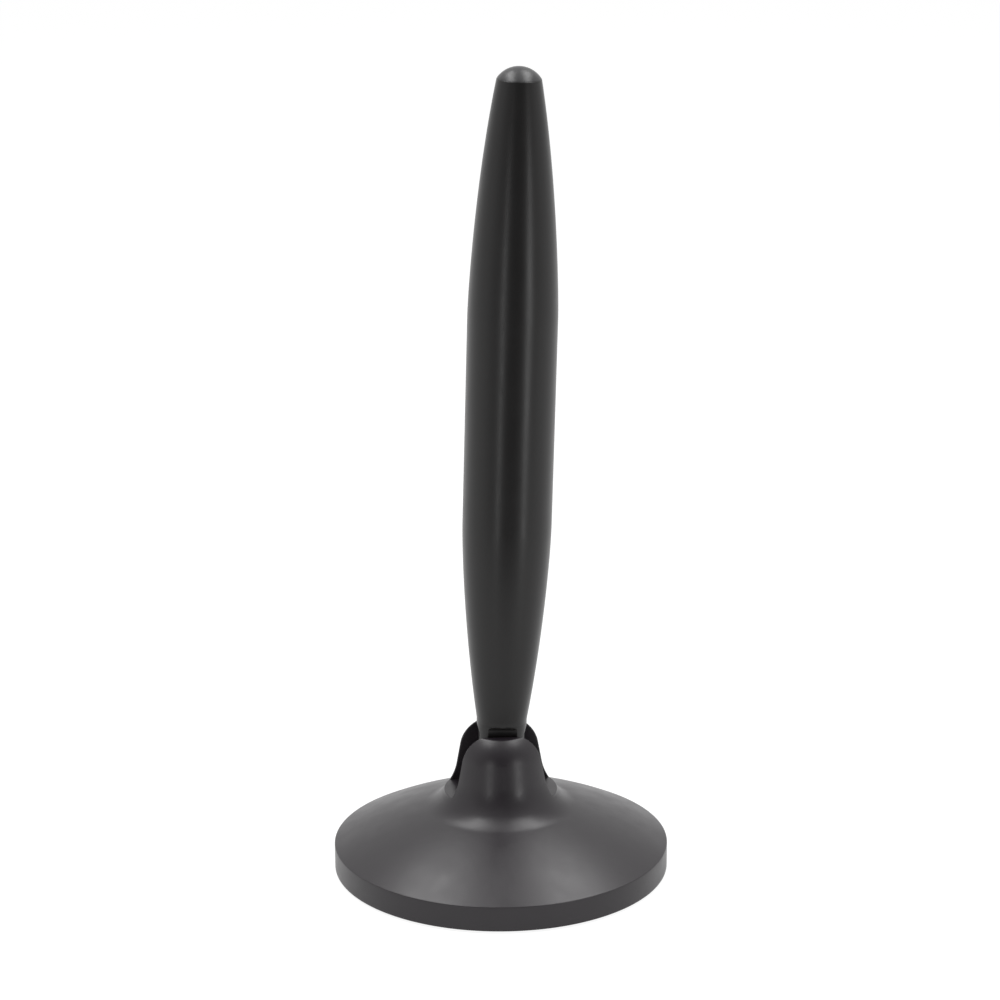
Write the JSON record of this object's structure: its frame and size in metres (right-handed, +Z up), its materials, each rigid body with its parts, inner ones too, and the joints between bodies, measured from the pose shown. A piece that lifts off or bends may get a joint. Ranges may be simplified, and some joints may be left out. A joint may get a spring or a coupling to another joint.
{
  "type": "tv antenna",
  "caption": "Tabletop television antenna: a spindle-shaped mast on a friction hinge in the forked hub of a weighted round base.",
  "frame": {"origin": "centre of the round base on the surface it stands on, at the underside of the rubber feet", "axes": "+Z up, -Y towards the front, +X to the right seen from the front; the mast folds in the XZ plane"},
  "size_m": [0.085, 0.085, 0.2043],
  "materials": {
    "base_plastic": "satin moulded black ABS",
    "mast_plastic": "glossy moulded black ABS",
    "tip_plastic": "satin moulded black ABS",
    "plate_plastic": "fine textured black plastic",
    "foot_rubber": "matt soft rubber",
    "steel": "zinc plated",
    "washer_nylon": "natural nylon",
    "board_laminate": "green solder mask on glass laminate",
    "copper": "bare copper",
    "ferrite": "matt sintered ferrite",
    "lead_jacket": "black cable jacket"
  },
  "bodies": {
    "base": {"base_cover": "base_plastic", "base_plate": "plate_plastic", "ballast_ring": "steel", "front_foot": "foot_rubber", "right_foot": "foot_rubber", "rear_foot": "foot_rubber", "left_foot": "foot_rubber", "base_screw_1": "steel", "base_screw_2": "steel", "base_screw_3": "steel", "base_screw_4": "steel", "feed_board": "board_laminate", "feed_board_screws": "steel", "cord_clamp": "plate_plastic", "cord_clamp_screws": "steel", "base_lead": "lead_jacket", "front_pivot_pin": "steel", "rear_pivot_screw": "steel", "pivot_plug": "base_plastic", "front_friction_washer": "washer_nylon", "rear_friction_washer": "washer_nylon"},
    "mast": {"mast_front_shell": "mast_plastic", "mast_rear_shell": "mast_plastic", "tip_cap": "tip_plastic", "antenna_board": "board_laminate", "upper_element": "copper", "lower_element": "copper", "balun_core": "ferrite", "balun_winding": "copper", "mast_lead": "lead_jacket"}
  },
  "joints": [
    {"name": "mast_fold", "type": "hinge", "parent": "base", "child": "mast", "pos_m": [0, 0, 0.028], "axis": [0, 1, 0], "range_deg": [-91.85, 88.15]}
  ]
}
